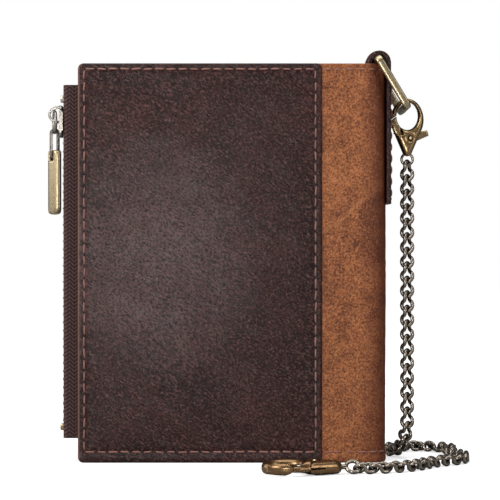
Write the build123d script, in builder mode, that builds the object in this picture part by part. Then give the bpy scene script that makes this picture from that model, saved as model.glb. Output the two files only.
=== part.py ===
"""A zip-coin bifold wallet on a curb chain with two lobster clasps. Millimetres, +Z up.

The origin is the centre of the back cover's bottom edge. X runs from the zip edge to the
spine, Y from the front cover to the back cover, and the closed wallet stands on z = 0.
"""

from build123d import *
import math
import os

# Wallet: outer sizes and leather layers
height = 122.0
flat_width = 88.4
fold_x = 41.2
left_x = fold_x - flat_width
thickness = 19.4
cover_t = 1.0
band_t = 1.1
band_sink = 0.5
board_t = 0.6
lining_t = 0.4
bill_gap = 1.0
wall_t = 0.8
cover_edge_x = 27.4
lap = 4.0
corner = 1.8
spine_radius = 6.0
fold_gap = 0.1
margin = 3.0
inset = 0.6

back_y = 0.8
front_y = back_y - thickness
band_back_y = back_y - band_sink
band_front_y = front_y + band_sink
mid_y = (band_back_y + band_front_y) / 2
spine_x = fold_x + spine_radius

# Coin pocket, zip and window in the front half
coin_depth = 3.6
tray_y = front_y + cover_t + board_t + lining_t + bill_gap
coin_y = tray_y + wall_t
panel_y = coin_y + coin_depth
zip_y = coin_y + coin_depth / 2
zip_x = left_x - 4.5
tape_t = 0.5
tape_edge = 0.75
tape_low = 7.3
tape_high = 115.6
tooth_pitch = 2.5
tooth_t = 1.0
stop_low = 9.5
stop_high = 112.7
window_size = (60.0, 92.0)
window_open = (44.0, 74.0)
window_rim = 1.1
window_sheet = 0.5
film_t = 0.2

# Card slots in the back half
card_gap = 0.9
slot_edges = (80.0, 64.0, 48.0)
slot_floors = (34.0, 18.0, 2.0)
slot_margin = 0.8

# Slider and pull
slider_low = 99.6
slider_high = 109.4
slider_plate = 0.8
slider_width = 6.0
crown_z = 106.7
crown_reach = 3.6
crown_inner_z = 1.9
crown_gap = 0.58
ring_wire = 0.42
pull_ring_radius = 3.2
pull_x = zip_x - 3.1
ring_turn = 12.0
link_turn = 26.0
tab_turn = 40.0
link_width = 2.9
link_bar = 0.7
link_reach = 8.6
pin_from_top = 1.4
tab_length = 19.9
tab_width = 5.4
tab_t = 1.5
fork_width = 1.9
fork_depth = 3.1

# Strap loop and its ring
strap_width = 14.0
strap_t = 1.4
strap_low = 79.3
strap_tail = 98.0
ring_top = (44.6, 123.3)
ring_tilt = 31.0
ring_inside = 20.0
ring_length = 18.4
ring_bar = 1.7
ring_thick = 1.9

# Clasps: sizes of the small one; the large one is the same shape, enlarged. Each is drawn
# in its own frame, base tip at the origin and hook up along Z.
clasp_x = 54.2
lower_scale = 1.25
clasp_t = 3.4
clasp_slot = 1.6
slot_low = 4.5
slot_high = 10.4
tip_radius = 1.5
swivel_tip_radius = 2.3
tip_z = 2.6
tip_hole_z = 1.9
ring_clear = 0.1
hook_z = 12.4
arm_x = 1.9
pin_radius = 0.5
pin_clear = 0.05
gate_t = 1.4
pivot = (0.9, 6.6)
hub_radius = 1.6
gate_low = 8.2
gate_reach = 8.1
gate_play = 0.15

# The large clasp's swivel eye, in the clasp's own frame
shank_radius = 0.6
head_radius = 1.1
head_low = 2.4
head_t = 1.1
eye_z = -2.3
eye_radius = 1.6
eye_wire = 0.48
eye_gap = 0.3
eye_turn = 45.0

# Curb chain
wire = 0.6
link_half_width = 1.675
link_half_length = 2.925
link_twist = 40.0
link_count = 45
group = 3
jump_radius = 1.72
jump_wire = 0.43
jump_z = 93.2
hang_gap = 0.1
floor_z = 1.68
vertical_links = 18
landing_links = 4
landing_turn = 90.0 / landing_links
hang_turn = 22.0
# Floor joints from the landing onwards: (how many, turn of each in degrees, + is anticlockwise)
floor_turns = ((8, -25.6), (1, -8.0), (2, 15.0), (1, -6.0), (3, -22.4), (3, 7.5), (5, -10.5))


def finish(piece, name):
    """Labels a piece and writes it as parts/NAME.step."""
    piece.part.label = name
    export_step(piece.part, f"parts/{name}.step")


def span_rectangle(x_span, z_span):
    """A rectangle between two x values and two z values, in a sketch on an XZ plane."""
    centre = ((x_span[0] + x_span[1]) / 2, (z_span[0] + z_span[1]) / 2)
    with BuildSketch() as area:
        with Locations(centre):
            Rectangle(x_span[1] - x_span[0], z_span[1] - z_span[0])
    return area.sketch


def xz(y_high):
    """The plane at y_high that extrudes towards -Y, with sketch x = X and sketch y = Z."""
    return Plane.XZ.offset(-y_high)


def sheet(x_span, y_span, z_span, radius=0.0):
    """A flat standing sheet whose two corners at the zip edge are rounded."""
    with BuildPart() as piece:
        with BuildSketch(xz(y_span[1])):
            add(span_rectangle(x_span, z_span))
        extrude(amount=y_span[1] - y_span[0])
        if radius:
            fillet(piece.edges().filter_by(Axis.Y).group_by(Axis.X)[0], radius)
    return piece


def toward(outer_y, inward, near, far):
    """The y span between two depths under an outer face; inward is +1 or -1."""
    ends = (outer_y + inward * near, outer_y + inward * far)
    return (min(ends), max(ends))


def cover(outer_y, inward):
    """The dark outer leather, from the zip edge to its folded edge over the band."""
    y_span = toward(outer_y, inward, 0, cover_t)
    return sheet((left_x, cover_edge_x), y_span, (0, height), corner)


def band(outer_y, inward):
    """The tan band beside the fold, with a thinned tongue lapped under the cover."""
    y_full = toward(outer_y, inward, band_sink, cover_t + board_t)
    y_lap = toward(outer_y, inward, cover_t, cover_t + board_t)
    with BuildPart() as piece:
        with BuildSketch(xz(y_full[1])):
            add(span_rectangle((cover_edge_x, fold_x), (0, height)))
        extrude(amount=y_full[1] - y_full[0])
        with BuildSketch(xz(y_lap[1])):
            add(span_rectangle((cover_edge_x - lap, cover_edge_x), (inset, height - inset)))
        extrude(amount=y_lap[1] - y_lap[0])
    return piece


def lining(outer_y, inward, rim):
    """The board and lining behind a cover, with a sewn rim at the zip edge and the bottom."""
    board_end = cover_edge_x - lap
    depth = cover_t + board_t
    y_board = toward(outer_y, inward, cover_t, depth)
    y_sheet = toward(outer_y, inward, depth, depth + lining_t)
    y_side = toward(outer_y, inward, depth + lining_t, depth + lining_t + rim)
    y_foot = toward(outer_y, inward, depth + lining_t, depth + lining_t + bill_gap)
    low_x = left_x + inset
    with BuildPart() as piece:
        with BuildSketch(xz(y_board[1])):
            add(span_rectangle((low_x, board_end), (inset, height - inset)))
        extrude(amount=y_board[1] - y_board[0])
        with BuildSketch(xz(y_sheet[1])):
            add(span_rectangle((low_x, fold_x), (inset, height - inset)))
        extrude(amount=y_sheet[1] - y_sheet[0])
        with BuildSketch(xz(y_side[1])):
            add(span_rectangle((low_x, low_x + margin), (inset + margin, height - inset)))
        extrude(amount=y_side[1] - y_side[0])
        with BuildSketch(xz(y_foot[1])):
            add(span_rectangle((low_x, fold_x - inset), (inset, inset + margin)))
        extrude(amount=y_foot[1] - y_foot[0])
    return piece


def seam(outer_y, inward):
    """The lockstitch line round a cover, as one raised thread."""
    thread = 0.6
    rise = 0.2
    top_in = 1.8
    side_in = 2.0
    foot_in = 3.4
    width = cover_edge_x - left_x - 2 * side_in
    tall = height - top_in - foot_in
    centre = ((cover_edge_x + left_x) / 2, (height - top_in + foot_in) / 2)
    y_span = toward(outer_y, inward, -rise, 0)
    with BuildPart() as piece:
        with BuildSketch(xz(y_span[1])):
            with Locations(centre):
                Rectangle(width + thread, tall + thread)
                Rectangle(width - thread, tall - thread, mode=Mode.SUBTRACT)
        extrude(amount=rise)
    return piece


def inner_panel():
    """The panel between the bill space and the card slots of the back half."""
    depth = cover_t + board_t + lining_t + bill_gap
    y_span = toward(back_y, -1, depth, depth + wall_t)
    return sheet((left_x + inset, fold_x - inset), y_span, (inset, height - inset), corner)


def card_slot(index):
    """One card slot: a sheet with sewn margins at both sides and a floor under the card."""
    first = cover_t + board_t + lining_t + bill_gap + wall_t
    start = first + index * (card_gap + wall_t)
    y_rim = toward(back_y, -1, start, start + card_gap)
    y_sheet = toward(back_y, -1, start + card_gap, start + card_gap + wall_t)
    x_low = left_x + inset
    x_high = fold_x - 0.3
    low = 2.0
    top = slot_edges[index]
    shelf = (low, max(slot_floors[index] + low, low + 1.2))
    with BuildPart() as piece:
        with BuildSketch(xz(y_sheet[1])):
            add(span_rectangle((x_low, x_high), (low, top)))
        extrude(amount=wall_t)
        with BuildSketch(xz(y_rim[1])):
            add(span_rectangle((x_low, x_low + slot_margin), (low, top)))
            add(span_rectangle((x_high - slot_margin, x_high), (low, top)))
            add(span_rectangle((x_low, x_high), (shelf[1] - 1.2, shelf[1])))
        extrude(amount=card_gap)
    return piece


def coin_pocket():
    """The coin tray: a wall with a raised border on three sides, open at the zip edge."""
    x_low = left_x + inset
    x_high = fold_x - inset
    y_wall = (tray_y, coin_y)
    y_rim = (coin_y, panel_y)
    z_span = (inset, height - inset)
    border = 2.0
    with BuildPart() as piece:
        with BuildSketch(xz(y_wall[1])):
            add(span_rectangle((x_low, x_high), z_span))
        extrude(amount=wall_t)
        with BuildSketch(xz(y_rim[1])):
            add(span_rectangle((x_low, x_high), z_span))
            add(span_rectangle((x_low - 1, x_high - border), (tape_low, tape_high)), mode=Mode.SUBTRACT)
        extrude(amount=coin_depth)
    return piece


def front_inner_panel():
    """The panel that closes the coin tray and carries the window."""
    side = (left_x + inset, fold_x - inset)
    level = (inset, height - inset)
    return sheet(side, (panel_y, panel_y + wall_t), level, corner)


def window_frame():
    """The identity window: a leather frame with a card space behind it, open at the top."""
    z_mid = height / 2
    rim_y = panel_y + wall_t
    wide = window_size[0]
    tall = window_size[1]
    rim = (wide - 55.0) / 2
    with BuildPart() as piece:
        with BuildSketch(xz(rim_y + window_rim + window_sheet)):
            with Locations((0, z_mid)):
                Rectangle(wide, tall)
                Rectangle(*window_open, mode=Mode.SUBTRACT)
        extrude(amount=window_sheet)
        with BuildSketch(xz(rim_y + window_rim)):
            with Locations((0, z_mid)):
                Rectangle(wide, tall)
            with Locations((0, z_mid + rim)):
                Rectangle(wide - 2 * rim, tall, mode=Mode.SUBTRACT)
        extrude(amount=window_rim)
    return piece


def window_film():
    """The clear film glued behind the window's opening."""
    glue = 2.0
    y_high = panel_y + wall_t + window_rim
    x_half = window_open[0] / 2 + glue
    z_half = window_open[1] / 2 + glue
    z_mid = height / 2
    return sheet((-x_half, x_half), (y_high - film_t, y_high), (z_mid - z_half, z_mid + z_half))


def tape(side):
    """One zip tape: out of the pocket's mouth, round a bend, to the teeth; side is -1 or +1."""
    bend = 1.3
    leg = zip_y + side * (coin_depth / 2 + wall_t + tape_t / 2)
    inner_x = left_x + inset + margin
    with BuildPart() as piece:
        with BuildSketch(Plane.XY.offset(tape_low)):
            with BuildLine():
                flat = Line((inner_x, leg), (zip_x + bend, leg))
                RadiusArc(flat @ 1, (zip_x, leg - side * bend), -side * bend)
                Line((zip_x, leg - side * bend), (zip_x, zip_y + side * tape_edge))
            trace(line_width=tape_t)
        extrude(amount=tape_high - tape_low)
    return piece


def teeth(side):
    """One row of zip teeth; the two rows are half a pitch apart and mesh."""
    first = stop_low + 3.4 + (side + 1) / 2 * tooth_pitch / 2
    count = int((slider_high - 3.2 - first) / tooth_pitch)
    reach = 1.3
    centre_y = zip_y + side * (tape_edge - reach / 2)
    with BuildPart() as piece:
        with Locations(*[(zip_x, centre_y, first + i * tooth_pitch) for i in range(count)]):
            Box(tooth_t, reach, 0.95)
    return piece


def stop(z_low, z_high):
    """A metal stop between the two tapes at an end of the teeth."""
    with BuildPart() as piece:
        with Locations((zip_x, zip_y, (z_low + z_high) / 2)):
            Box(1.3, 2 * tape_edge, z_high - z_low)
        fillet(piece.edges().filter_by(Axis.Y), 0.3)
    return piece


def spine_wall(outer_gap, wall):
    """A channel between the two folds; outer_gap is its depth under the band's outer face."""
    start = fold_x + fold_gap
    radius = spine_radius - outer_gap
    y_high = band_back_y - outer_gap
    y_low = band_front_y + outer_gap
    x_high = spine_x - outer_gap + fold_gap
    with BuildPart() as piece:
        with BuildSketch(Plane.XY):
            with BuildLine():
                Line((start, y_high), (start, y_high - wall))
                RadiusArc((start, y_high - wall), (x_high - wall, y_high - radius), radius - wall)
                Line((x_high - wall, y_high - radius), (x_high - wall, y_low + radius))
                RadiusArc((x_high - wall, y_low + radius), (start, y_low + wall), radius - wall)
                Line((start, y_low + wall), (start, y_low))
                RadiusArc((start, y_low), (x_high, y_low + radius), -radius)
                Line((x_high, y_low + radius), (x_high, y_high - radius))
                RadiusArc((x_high, y_high - radius), (start, y_high), -radius)
            make_face()
        extrude(amount=height)
    return piece


def strap_loop():
    """The leather strap: sewn down the spine's outside, over the top edge and into the spine."""
    outer_x = spine_x + fold_gap + strap_t / 2
    inner_x = fold_x + fold_gap + strap_t / 2 + 0.2
    crest = (inner_x + outer_x) / 2, ring_top[1] + ring_thick / 2 + strap_t / 2 + 0.6
    turn_z = crest[1] - (outer_x - inner_x) / 2
    with BuildPart() as piece:
        with BuildSketch(Plane.XZ.offset(-mid_y - strap_width / 2)):
            with BuildLine():
                Line((outer_x, strap_low), (outer_x, turn_z))
                ThreePointArc((outer_x, turn_z), crest, (inner_x, turn_z))
                Line((inner_x, turn_z), (inner_x, strap_tail))
            trace(line_width=strap_t)
        extrude(amount=strap_width)
    return piece


def strap_seam():
    """The stitch line on the strap's outer face, as one raised thread."""
    rise = 0.2
    thread = 0.6
    edge = 1.5
    x_face = spine_x + fold_gap + strap_t
    top = height - 6.0
    z_mid = (strap_low + edge + top) / 2
    tall = top - strap_low - edge
    with BuildPart() as piece:
        with BuildSketch(Plane.YZ.offset(x_face)):
            with Locations((mid_y, z_mid)):
                Rectangle(strap_width - 2 * edge + thread, tall + thread)
                Rectangle(strap_width - 2 * edge - thread, tall - thread, mode=Mode.SUBTRACT)
        extrude(amount=rise)
    return piece


def slider():
    """The zip slider: two plates joined by a diamond, flanges round the tapes, and a crown."""
    z_mid = (slider_low + slider_high) / 2
    tall = slider_high - slider_low
    outer_face = zip_x - 0.7
    inner_face = zip_x + 0.7
    flange = 0.6
    diamond = 2.0
    with BuildPart() as piece:
        with Locations((outer_face - slider_plate / 2, zip_y, z_mid)):
            Box(slider_plate, slider_width, tall)
        fillet(piece.edges().filter_by(Axis.X), 1.6)
        with Locations((inner_face + 0.35, zip_y, z_mid)):
            Box(0.7, 3.8, tall)
        with Locations((zip_x, zip_y, slider_high - 0.4 - diamond / 2)):
            Box(1.4, 0.9, diamond)
        with Locations(
            (outer_face + 0.2, zip_y + slider_width / 2 - flange / 2, z_mid),
            (outer_face + 0.2, zip_y - slider_width / 2 + flange / 2, z_mid),
        ):
            Box(0.4, flange, tall - 4)
        with BuildSketch(Plane.XZ.offset(-zip_y - 0.7)):
            with Locations((outer_face - slider_plate, crown_z)):
                Ellipse(crown_reach, 2.7)
                Ellipse(crown_reach - 0.7, crown_inner_z, mode=Mode.SUBTRACT)
            front_side = (outer_face - slider_plate / 2, zip_x + 9)
            add(span_rectangle(front_side, (slider_low - 9, slider_high + 9)),
                mode=Mode.SUBTRACT)
        extrude(amount=1.4)
    return piece


def pull_plane(z, turn):
    """The upright plane of a pull piece's broad face at height z, turned towards the front."""
    out = math.radians(180 + turn)
    return Plane(origin=(pull_x, zip_y, z), z_dir=(math.cos(out), math.sin(out), 0), x_dir=(0, 0, 1))


def pull_ring():
    """The round wire ring in the slider's crown."""
    with BuildPart() as piece:
        with Locations(pull_plane(pull_ring_z, ring_turn)):
            Torus(pull_ring_radius, ring_wire)
    return piece


def pull_link():
    """The flat wire connector between the pull ring and the tab."""
    normal = pull_plane(0, link_turn).y_dir
    across = Plane(origin=(pull_x, zip_y, link_mid_z), z_dir=normal, x_dir=(0, 0, 1))
    with BuildPart() as piece:
        with BuildSketch(across):
            SlotOverall(link_reach + link_bar, link_width)
            SlotOverall(link_reach - link_bar, link_width - 2 * link_bar, mode=Mode.SUBTRACT)
        extrude(amount=0.5, both=True)
    return piece


def pull_tab():
    """The long tab: a rounded foot, a forked head with a cross hole, and softened edges."""
    face = pull_plane(tab_top - tab_length / 2, tab_turn)
    fork = pull_plane(tab_top, tab_turn)
    pin_plane = Plane(origin=(pull_x, zip_y, pull_pin_z), z_dir=face.y_dir, x_dir=(0, 0, 1))
    through = Axis((0, 0, 0), tuple(face.z_dir))
    with BuildPart() as piece:
        with BuildSketch(face):
            Rectangle(tab_length, tab_width)
        extrude(amount=tab_t / 2, both=True)
        fillet(piece.edges().filter_by(through).group_by(Axis.Z)[0], 2.2)
        fillet(piece.edges().filter_by(through).group_by(Axis.Z)[-1], 1.2)
        with BuildSketch(fork):
            Rectangle(fork_depth * 2, fork_width)
        extrude(amount=tab_t, both=True, mode=Mode.SUBTRACT)
        with BuildSketch(pin_plane):
            Circle(pin_radius)
        extrude(amount=tab_width, both=True, mode=Mode.SUBTRACT)
    return piece


def pull_pin():
    """The pin across the tab's fork."""
    across = pull_plane(0, tab_turn).y_dir
    with BuildPart() as piece:
        with BuildSketch(Plane(origin=(pull_x, zip_y, pull_pin_z), z_dir=across, x_dir=(0, 0, 1))):
            Circle(pin_radius)
        extrude(amount=tab_width / 2 - 0.1, both=True)
    return piece


def strap_ring():
    """The flat rectangular ring that hangs in the strap loop and straddles the spine."""
    tilt = math.radians(ring_tilt)
    along = (math.sin(tilt), 0, -math.cos(tilt))
    centre = (
        ring_top[0] + (ring_length - ring_bar) / 2 * along[0],
        mid_y,
        ring_top[1] + (ring_length - ring_bar) / 2 * along[2],
    )
    flat = Plane(origin=centre, x_dir=along, z_dir=(math.cos(tilt), 0, math.sin(tilt)))
    with BuildPart() as piece:
        with BuildSketch(flat):
            RectangleRounded(ring_length, ring_inside + 2 * ring_bar, 1.9)
            RectangleRounded(ring_length - 2 * ring_bar, ring_inside, 0.8, mode=Mode.SUBTRACT)
        extrude(amount=ring_thick / 2, both=True)
        fillet(piece.faces().sort_by(Axis(centre, tuple(flat.z_dir)))[-1].edges(), 0.45)
        fillet(piece.faces().sort_by(Axis(centre, tuple(flat.z_dir)))[0].edges(), 0.45)
    return piece


def clasp_outline(tip):
    """A clasp's outer outline: a round hook that tapers to a tip of the given radius."""
    with BuildSketch() as outline:
        with BuildSketch(mode=Mode.PRIVATE) as parts:
            with Locations((0, hook_z)):
                Ellipse(5.1, 6.6)
            with Locations((0, tip_z)):
                Circle(tip)
        make_hull(parts.sketch.edges())
    return outline.sketch


def hook_opening():
    """The opening inside a clasp's hook."""
    with BuildSketch() as opening:
        with Locations((0, hook_z + 1.2)):
            Ellipse(3.3, 4.3)
    return opening.sketch


def gate_zone(play):
    """The part of the hook's left arm that the gate takes, out to an arc about the pivot."""
    with BuildSketch() as zone:
        with Locations(pivot):
            Circle(gate_reach + play)
        with Locations((-6.0 - arm_x, gate_low - play + 6.0)):
            Rectangle(12.0, 12.0, mode=Mode.INTERSECT)
    return zone.sketch


def clasp_gate_area():
    """The gate's outline: the left arm of the hook, a hub on the pivot and a thumb lever."""
    hub_low = (pivot[0], pivot[1] - hub_radius)
    hub_high = (pivot[0], pivot[1] + hub_radius)
    with BuildSketch() as gate:
        add(clasp_outline(tip_radius))
        add(hook_opening(), mode=Mode.SUBTRACT)
        add(gate_zone(0), mode=Mode.INTERSECT)
        with Locations(pivot):
            Circle(hub_radius)
        with BuildLine():
            Polyline((-3.6, gate_low + 0.9), hub_high, hub_low, (-4.4, gate_low), close=True)
        make_face()
        with BuildLine():
            Polyline(hub_high, (6.2, pivot[1] + 2.6), (6.7, pivot[1] + 0.9), hub_low, close=True)
        make_face()
    return gate.sketch


def clasp_body(tip, swivel):
    """A lobster clasp's body in its own frame: hook up along Z, pivot axis along Y."""
    foot = (Align.CENTER, Align.CENTER, Align.MIN)
    with BuildPart() as piece:
        with BuildSketch(Plane.XZ):
            add(clasp_outline(tip))
            add(hook_opening(), mode=Mode.SUBTRACT)
            add(gate_zone(gate_play), mode=Mode.SUBTRACT)
        extrude(amount=clasp_t / 2, both=True)
        with BuildSketch(Plane.XZ):
            with Locations((0, (slot_low + slot_high) / 2)):
                Rectangle(20, slot_high - slot_low)
        extrude(amount=clasp_slot / 2, both=True, mode=Mode.SUBTRACT)
        with BuildSketch(Plane.XZ):
            with Locations(pivot):
                Circle(pin_radius)
        extrude(amount=clasp_t, both=True, mode=Mode.SUBTRACT)
        if swivel:
            with Locations((0, 0, head_low - 0.1)):
                Cylinder(head_radius + pin_clear, head_t + 0.2, align=foot, mode=Mode.SUBTRACT)
            Cylinder(shank_radius + pin_clear, head_low, align=foot, mode=Mode.SUBTRACT)
        else:
            with Locations(Plane(origin=(0, 0, tip_hole_z - jump_radius), z_dir=(0, 1, 0))):
                Torus(jump_radius, jump_wire + ring_clear, mode=Mode.SUBTRACT)
    return piece


def clasp_gate():
    """The spring gate, with a recess beside its hub for the coil."""
    with BuildPart() as piece:
        with BuildSketch(Plane.XZ):
            add(clasp_gate_area())
        extrude(amount=gate_t / 2, both=True)
        with BuildSketch(Plane.XZ):
            with Locations(pivot):
                Circle(hub_radius - 0.2)
        extrude(amount=gate_t, mode=Mode.SUBTRACT)
        with BuildSketch(Plane.XZ):
            with Locations(pivot):
                Circle(pin_radius + pin_clear)
        extrude(amount=gate_t, both=True, mode=Mode.SUBTRACT)
    return piece


def clasp_pin():
    """The gate's pivot pin."""
    with BuildPart() as piece:
        with BuildSketch(Plane.XZ):
            with Locations(pivot):
                Circle(pin_radius)
        extrude(amount=clasp_t / 2, both=True)
    return piece


def clasp_spring():
    """The coil spring round the pin, in the gate's recess."""
    coil_wire = 0.12
    coil_pitch = 0.28
    gap = 0.2
    with BuildPart() as piece:
        with BuildLine() as coil:
            Helix(
                pitch=coil_pitch,
                height=1.5 * coil_pitch,
                radius=pin_radius + 0.35,
                center=(pivot[0], -gap, pivot[1]),
                direction=(0, -1, 0),
            )
        with BuildSketch(Plane(origin=coil.line @ 0, z_dir=coil.line % 0)):
            Rectangle(2 * coil_wire, 2 * coil_wire)
        sweep(path=coil.line)
    return piece


def jump_ring():
    """The round wire ring between the small clasp's tip and the first link."""
    with BuildPart() as piece:
        with Locations(Plane(origin=(clasp_x, mid_y, jump_z), z_dir=(0, 1, 0))):
            Torus(jump_radius, jump_wire)
    return piece


def swivel_eye():
    """The large clasp's swivel eye: a round ring, a shank and a head inside the body."""
    foot = (Align.CENTER, Align.CENTER, Align.MIN)
    ring_top_z = eye_z + eye_radius
    with BuildPart() as piece:
        with Locations(Plane(origin=(0, 0, eye_z), z_dir=(0, 1, 0))):
            Torus(eye_radius, eye_wire)
        with Locations((0, 0, ring_top_z)):
            Cylinder(shank_radius, head_low - ring_top_z + 0.2, align=foot)
        with Locations((0, 0, head_low)):
            Cylinder(head_radius, head_t, align=foot)
    return piece


def wire_bend(start, ahead, centre, axis, turn):
    """A length of the links' wire bent about an axis through centre, by turn degrees."""
    with BuildPart() as piece:
        with BuildSketch(Plane(origin=start, z_dir=ahead)):
            Circle(wire)
        revolve(axis=Axis(centre, axis), revolution_arc=turn)
    return piece.part


def curb_link():
    """One curb link on the origin, its long axis along Z.

    Each end is a half circle, one turned by link_twist and the other by as much the other
    way, and an S bend down each side joins them.
    """
    twist = math.radians(link_twist)
    end_z = link_half_length - link_half_width
    side = (link_half_width * math.cos(twist), link_half_width * math.sin(twist), end_z)
    bend = 2 * math.atan2(side[1], side[2])
    bend_radius = side[2] / math.sin(bend)
    bend_centre = (side[0], side[1] - bend_radius, side[2])
    with BuildPart() as piece:
        add(wire_bend(side, (0, 0, 1), (0, 0, end_z), (math.sin(twist), -math.cos(twist), 0), 180))
        down = wire_bend(side, (0, 0, -1), bend_centre, (-1, 0, 0), math.degrees(bend))
        add(down)
        add(down.rotate(Axis.Z, 180))
        add(piece.part.rotate(Axis.X, 180))
    return piece.part


def chain_places():
    """Each link's place, from the jump ring down to the floor and round to the large clasp."""
    bends = [(0, 0, 0)] * (vertical_links - 1)
    bends += [(landing_turn, 0, 0)] * landing_links
    for count, turn in floor_turns:
        bends += [(0, turn, 0)] * count
    half_step = Location((0, 0, -pitch / 2))
    places = [Location((clasp_x, mid_y, first_link_z), (0, 0, hang_turn))]
    for bend in bends:
        places.append(places[-1] * half_step * Location((0, 0, 0), bend) * half_step)
    return places


def chain_group(places):
    """Neighbouring links of the chain, each its own solid."""
    with BuildPart() as piece:
        with Locations(*places):
            add(link_shape)
    return piece


def placed(piece, place, scale=1.0):
    """A copy of a finished piece, enlarged and put in its place."""
    with BuildPart() as copy:
        add(piece.part.scale(scale).moved(place))
    return copy


# Heights that follow from the sizes above
pull_ring_z = crown_z + crown_inner_z - ring_wire - pull_ring_radius - crown_gap
link_top_z = pull_ring_z - pull_ring_radius + ring_wire + link_bar / 2 + 0.1
link_mid_z = link_top_z - link_reach / 2
pull_pin_z = link_top_z - link_reach + link_bar / 2 + pin_radius + 0.1
tab_top = pull_pin_z + pin_from_top

# The chain: pitch from the height it hangs through, and where the clasps go
first_link_z = jump_z - jump_radius + jump_wire + hang_gap - link_half_length + wire
landing_drop = sum(
    math.cos(math.radians(landing_turn * i)) + math.cos(math.radians(landing_turn * (i + 1)))
    for i in range(landing_links)
) / 2
pitch = (first_link_z - floor_z) / (vertical_links - 1 + landing_drop)
upper_place = Location((clasp_x, mid_y, jump_z + jump_radius - tip_hole_z))
link_places = chain_places()
eye_reach = link_half_length - wire - eye_wire * lower_scale - eye_gap
lower_lift = clasp_t * lower_scale / 2 - floor_z
lower_drop = eye_reach - (eye_z - eye_radius) * lower_scale
lower_place = link_places[-1] * Location((0, lower_lift, -lower_drop), (180, 0, 0))
eye_place = lower_place * Location((0, 0, 0), (0, 0, -eye_turn))

os.makedirs("parts", exist_ok=True)
finish(cover(back_y, -1), "back_cover")
finish(band(back_y, -1), "back_band")
finish(seam(back_y, -1), "back_seam")
finish(lining(back_y, -1, bill_gap), "back_lining")
finish(inner_panel(), "back_inner_panel")
for slot_index, slot_name in enumerate(("top", "middle", "bottom")):
    finish(card_slot(slot_index), f"card_slot_{slot_name}")
finish(cover(front_y, 1), "front_cover")
finish(band(front_y, 1), "front_band")
finish(seam(front_y, 1), "front_seam")
finish(lining(front_y, 1, bill_gap - tape_t), "front_lining")
finish(front_inner_panel(), "front_inner_panel")
finish(coin_pocket(), "coin_pocket")
finish(window_frame(), "id_window_frame")
finish(window_film(), "id_window_film")
finish(tape(-1), "zipper_tape_front")
finish(tape(1), "zipper_tape_rear")
finish(teeth(-1), "zipper_teeth_front")
finish(teeth(1), "zipper_teeth_rear")
finish(stop(stop_high - 2.3, stop_high), "zipper_top_stop")
finish(stop(stop_low, stop_low + 2.1), "zipper_bottom_stop")
finish(spine_wall(0, band_t), "spine_band")
finish(spine_wall(band_t, lining_t), "spine_lining")
finish(strap_loop(), "strap_loop")
finish(strap_seam(), "strap_seam")
finish(slider(), "zipper_slider")
finish(pull_ring(), "pull_ring")
finish(pull_link(), "pull_link")
finish(pull_tab(), "pull_tab")
finish(pull_pin(), "pull_pin")
finish(strap_ring(), "strap_ring")
link_shape = curb_link()
finish(placed(clasp_body(tip_radius, False), upper_place), "upper_clasp_body")
finish(placed(clasp_gate(), upper_place), "upper_clasp_gate")
finish(placed(clasp_pin(), upper_place), "upper_clasp_pin")
finish(placed(clasp_spring(), upper_place), "upper_clasp_spring")
finish(jump_ring(), "upper_jump_ring")
for first in range(0, link_count, group):
    finish(chain_group(link_places[first : first + group]), f"chain_links_{first // group + 1:02d}")
finish(placed(swivel_eye(), eye_place, lower_scale), "lower_swivel_eye")
finish(placed(clasp_body(swivel_tip_radius, True), lower_place, lower_scale), "lower_clasp_body")
finish(placed(clasp_gate(), lower_place, lower_scale), "lower_clasp_gate")
finish(placed(clasp_pin(), lower_place, lower_scale), "lower_clasp_pin")
finish(placed(clasp_spring(), lower_place, lower_scale), "lower_clasp_spring")
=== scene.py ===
"""A zip-coin bifold wallet on a curb chain: leather, thread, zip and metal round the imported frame."""

import itertools
import math

import bmesh
import bpy
import numpy as np
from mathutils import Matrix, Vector
from mathutils.kdtree import KDTree


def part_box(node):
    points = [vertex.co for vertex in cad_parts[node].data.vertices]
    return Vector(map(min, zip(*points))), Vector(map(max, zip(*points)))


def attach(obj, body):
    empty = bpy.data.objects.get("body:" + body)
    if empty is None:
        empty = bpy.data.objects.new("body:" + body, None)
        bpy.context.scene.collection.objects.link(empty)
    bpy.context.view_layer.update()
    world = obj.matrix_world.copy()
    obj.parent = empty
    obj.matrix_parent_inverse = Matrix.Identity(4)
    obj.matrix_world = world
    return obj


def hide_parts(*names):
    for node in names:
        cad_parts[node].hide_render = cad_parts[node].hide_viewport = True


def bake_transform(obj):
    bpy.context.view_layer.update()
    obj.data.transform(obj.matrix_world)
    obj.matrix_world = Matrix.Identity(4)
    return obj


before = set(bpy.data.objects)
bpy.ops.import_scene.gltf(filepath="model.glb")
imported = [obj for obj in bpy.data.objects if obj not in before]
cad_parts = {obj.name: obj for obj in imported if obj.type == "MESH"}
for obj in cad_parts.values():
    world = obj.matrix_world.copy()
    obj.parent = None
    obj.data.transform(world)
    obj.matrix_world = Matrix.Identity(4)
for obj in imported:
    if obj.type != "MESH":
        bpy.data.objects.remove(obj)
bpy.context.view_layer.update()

MM = 0.001

# ---------------------------------------------------------------- places, from the frame, in mm


def span(node):
    """A CAD node's lowest and highest corner, in mm."""
    low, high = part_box(node)
    return np.array(low) / MM, np.array(high) / MM


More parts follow.
